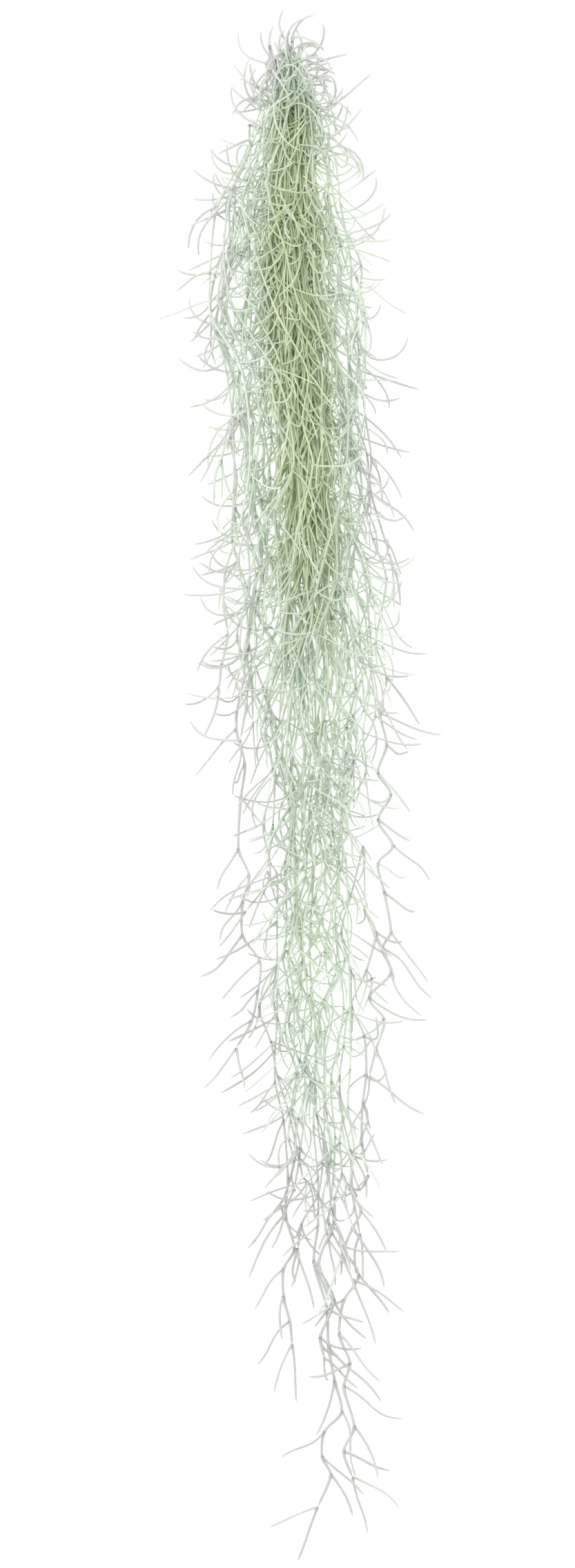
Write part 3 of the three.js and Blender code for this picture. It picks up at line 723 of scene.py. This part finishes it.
class Finish:
    """A material in the making."""

    def __init__(self, name):
        self.material = bpy.data.materials.new(name)
        self.material.use_nodes = True
        self.tree = self.material.node_tree
        self.shader = self.tree.nodes["Principled BSDF"]

    def node(self, kind, settings, sockets, output=0):
        """Adds a node: its settings first, then its sockets, each a value or a wire."""
        made = self.tree.nodes.new("ShaderNode" + kind)
        for setting, value in settings.items():
            setattr(made, setting, value)
        for socket, value in sockets.items():
            self.feed(made.inputs[socket], value)
        return Wire(self, made.outputs[output])

    def feed(self, socket, value):
        """Links a wire to a socket, or sets the socket to a plain value."""
        if isinstance(value, Wire):
            self.tree.links.new(value.socket, socket)
        else:
            socket.default_value = value

    def blend(self, share, one, other):
        """A colour between two others, which a Mix node takes in sockets 6 and 7 and gives out at 2."""
        return self.node("Mix", {"data_type": "RGBA"}, {0: share, 6: one, 7: other}, 2)

    def between(self, value, low, high):
        """0 where the value is low or less, 1 where it is high or more, and even in between."""
        return self.node("MapRange", {}, {"Value": value, "From Min": low, "From Max": high})

    def noise(self, where, size, detail=2.0):
        """Soft blotches of about this size in metres, from 0 to 1."""
        return self.node("TexNoise", {}, {"Vector": where, "Scale": 1 / size, "Detail": detail})


def rgb(red, green, blue):
    """A colour as seen on a screen, from 0 to 255, in the linear numbers that a shader takes. Dark ones
    are divided by 12.92, and the others raised to the power of 2.4 after a small shift."""
    share = np.array([red, green, blue]) / 255
    linear = np.where(share <= 0.04045, share / 12.92, ((share + 0.055) / 1.055) ** 2.4)
    return (*linear.tolist(), 1.0)


print("mid grey on a screen is", round(rgb(128, 128, 128)[0], 3), "to a shader")

# %% The moss finishes
PATCH = 45 * MM  # size of the patches that are paler or deeper
TONE_SHARE = 0.7  # how much of a thread's paleness is its own tone, and not its patch's
PALENESSES = (0.15, 0.85)  # up to the first a thread is deep in colour, and from the second on pale
MIXED_PATCH = 22 * MM  # size of the patches with a thicker or thinner coat of scales
TONE_SHIFT, PATCH_SHIFT = 0.42, 0.4  # how much the tone and such a patch count as shelter
# The two colour steps below stand partly for a thinner coat of scales and partly for painted shade, which
# deepens the colour where strands cover each other.
GREY_TO_MINT = (0.11, 0.27)  # shelters between which the coat thins
MINT_TO_OLIVE = (0.4, 0.9)  # and between which hardly any coat is left
DRY_FROM, DRYNESS = 0.6, 0.3  # place along a leaf from which it dries out, and how pale its tip gets
WITHERED_PATCH = 9 * MM
WITHERED_PEAKS = (0.67, 0.75)  # only the highest peaks of the noise are withered
WITHERING = 0.4
SCALE_SIZE = 0.35 * MM
SCALE_HEIGHT = 0.05 * MM
SCALE_RELIEF = 0.6  # share of the bump's full strength
SILVERING = 0.15  # how much the scales whiten what they cover
SMOOTHEST, ROUGHEST = 0.55, 0.85
THROUGH = 0.6  # share of the light that goes on inside a thread
SCATTER = 1.5 * MM  # and how far it goes
SCATTER_COLOURS = (1.0, 1.0, 0.85)  # red and green light go on a little further than blue
VELVET, VELVET_ROUGHNESS = 0.15, 0.4  # the soft sheen of the scales' edges
DRIED, STRAW, SILVER = rgb(216, 217, 212), rgb(170, 160, 130), rgb(228, 232, 226)


def moss(name, open_pair, inner_pair, core_pair):
    """The finish of one kind of strand, from three pairs of a deeper and a paler colour: for threads that
    lie open, for those inside the bunch, and for those in its core. The way from open to core stands
    partly for a thinner coat of scales and partly for painted shade, where other strands cover a thread."""
    finish = Finish(name)
    where = finish.node("TexCoord", {}, {}, "Object")
    tone = finish.node("Attribute", {"attribute_name": "tone"}, {}, "Fac")
    along = finish.node("Attribute", {"attribute_name": "place"}, {}, "Fac")
    sheltered = finish.node("Attribute", {"attribute_name": "shelter"}, {}, "Fac")
    paleness = tone * TONE_SHARE + finish.noise(where, PATCH) * (1 - TONE_SHARE)
    paleness = finish.between(paleness, *PALENESSES)
    patchy = finish.noise(where, MIXED_PATCH)
    # The shelter deepens the colour from grey through mint to olive: partly a thinner coat of scales,
    # partly painted shade.
    sheltered = sheltered + (tone - 0.5) * TONE_SHIFT + (patchy - 0.5) * PATCH_SHIFT
    colour = finish.blend(finish.between(sheltered, *GREY_TO_MINT),
                          finish.blend(paleness, *open_pair), finish.blend(paleness, *inner_pair))
    colour = finish.blend(finish.between(sheltered, *MINT_TO_OLIVE), colour,
                          finish.blend(paleness, *core_pair))
    colour = finish.blend(finish.between(along, DRY_FROM, 1.0) * DRYNESS, colour, DRIED)
    withered = finish.between(finish.noise(where, WITHERED_PATCH), *WITHERED_PEAKS)
    colour = finish.blend(withered * WITHERING, colour, STRAW)
    scales = finish.noise(where, SCALE_SIZE, detail=1.0)
    colour = finish.blend(scales * SILVERING, colour, SILVER)
    shader = finish.shader
    finish.feed(shader.inputs["Base Color"], colour)
    finish.feed(shader.inputs["Roughness"], SMOOTHEST + scales * (ROUGHEST - SMOOTHEST))
    relief = {"Height": scales, "Distance": SCALE_HEIGHT, "Strength": SCALE_RELIEF}
    finish.feed(shader.inputs["Normal"], finish.node("Bump", {}, relief, "Normal"))
    shader.inputs["Subsurface Weight"].default_value = THROUGH
    shader.inputs["Subsurface Radius"].default_value = SCATTER_COLOURS
    shader.inputs["Subsurface Scale"].default_value = SCATTER
    shader.inputs["Sheen Weight"].default_value = VELVET
    shader.inputs["Sheen Roughness"].default_value = VELVET_ROUGHNESS
    return finish.material


# Past these shelters the colour is also deepened as painted shade, not only by a thinner coat.
print("the coat thins between shelters of", *GREY_TO_MINT, "and is nearly gone by", MINT_TO_OLIVE[1])

# %% Three greens, and the finishes made of them
grey = rgb(194, 195, 193), rgb(220, 221, 219)
mint = rgb(188, 206, 187), rgb(225, 237, 220)
olive = rgb(180, 198, 148), rgb(220, 234, 192)
pale_olive = rgb(188, 206, 168), rgb(222, 236, 204)
bare_grey = rgb(190, 191, 189), rgb(214, 215, 212)
finishes = {"core_moss": moss("core moss", grey, mint, olive),
            "outer_moss": moss("outer moss", grey, mint, pale_olive),
            "trailing_moss": moss("trailing moss", bare_grey, mint, mint)}
for piece in pieces.values():
    piece.data.materials.append(finishes[piece["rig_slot"]])
print(len(finishes), "finishes on", len(pieces), "pieces")

# %% [markdown]
# ## Table and light
#
# The table is plain and nearly white. A large soft sky lights every side, and a broad lamp high above
# the gathered end models the threads a little. More lamps would draw crossing shadows, and threads
# this fine would be lost among them. The table glows faintly, as a light table does, so that the
# gaps between the threads stay bright.

# %% The table
FLOOR_HALF = 20.0  # half a side of the table, so large that no view shows its edge
FLOOR_GREY = rgb(160, 160, 160)
FLOOR_ROUGHNESS = 0.8
FLOOR_GLOW = 0.8
WHITE = (1, 1, 1, 1)

floor_mesh = bpy.data.meshes.new("floor")
corners = [(x * FLOOR_HALF, y * FLOOR_HALF, 0) for x, y in ((-1, -1), (1, -1), (1, 1), (-1, 1))]
floor_mesh.from_pydata(corners, [], [(0, 1, 2, 3)])
floor = bpy.data.objects.new("floor", floor_mesh)
bpy.context.scene.collection.objects.link(floor)
floor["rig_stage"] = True
paper = Finish("pale table")
paper.shader.inputs["Base Color"].default_value = FLOOR_GREY
paper.shader.inputs["Roughness"].default_value = FLOOR_ROUGHNESS
paper.shader.inputs["Emission Color"].default_value = WHITE
paper.shader.inputs["Emission Strength"].default_value = FLOOR_GLOW
floor_mesh.materials.append(paper.material)
print("a table", 2 * FLOOR_HALF, "m wide")

# %% Sky and lamp
SKY = 0.8  # strength of the light from all sides
LAMP_PLACE, LAMP_SIZE = (-0.5, 0.7, 1.6), 1.0
LAMP_POWER = 14  # W

world = bpy.data.worlds.new("soft studio")
world.use_nodes = True
sky = world.node_tree.nodes["Background"]
sky.inputs["Color"].default_value = WHITE
sky.inputs["Strength"].default_value = SKY
bpy.context.scene.world = world
bpy.context.scene.view_settings.view_transform = "Standard"  # colours show as they were mixed


def lamp(name, place, size, power):
    """A square soft lamp that shines from its place towards the middle of the bunch."""
    light = bpy.data.lights.new(name, "AREA")
    light.size, light.energy = size, power
    made = bpy.data.objects.new(name, light)
    made.location = place
    made.rotation_euler = Vector(place).to_track_quat("Z", "Y").to_euler()
    bpy.context.scene.collection.objects.link(made)


lamp("broad lamp", LAMP_PLACE, LAMP_SIZE, LAMP_POWER)
print("sky", SKY, "and a lamp of", LAMP_POWER, "W")
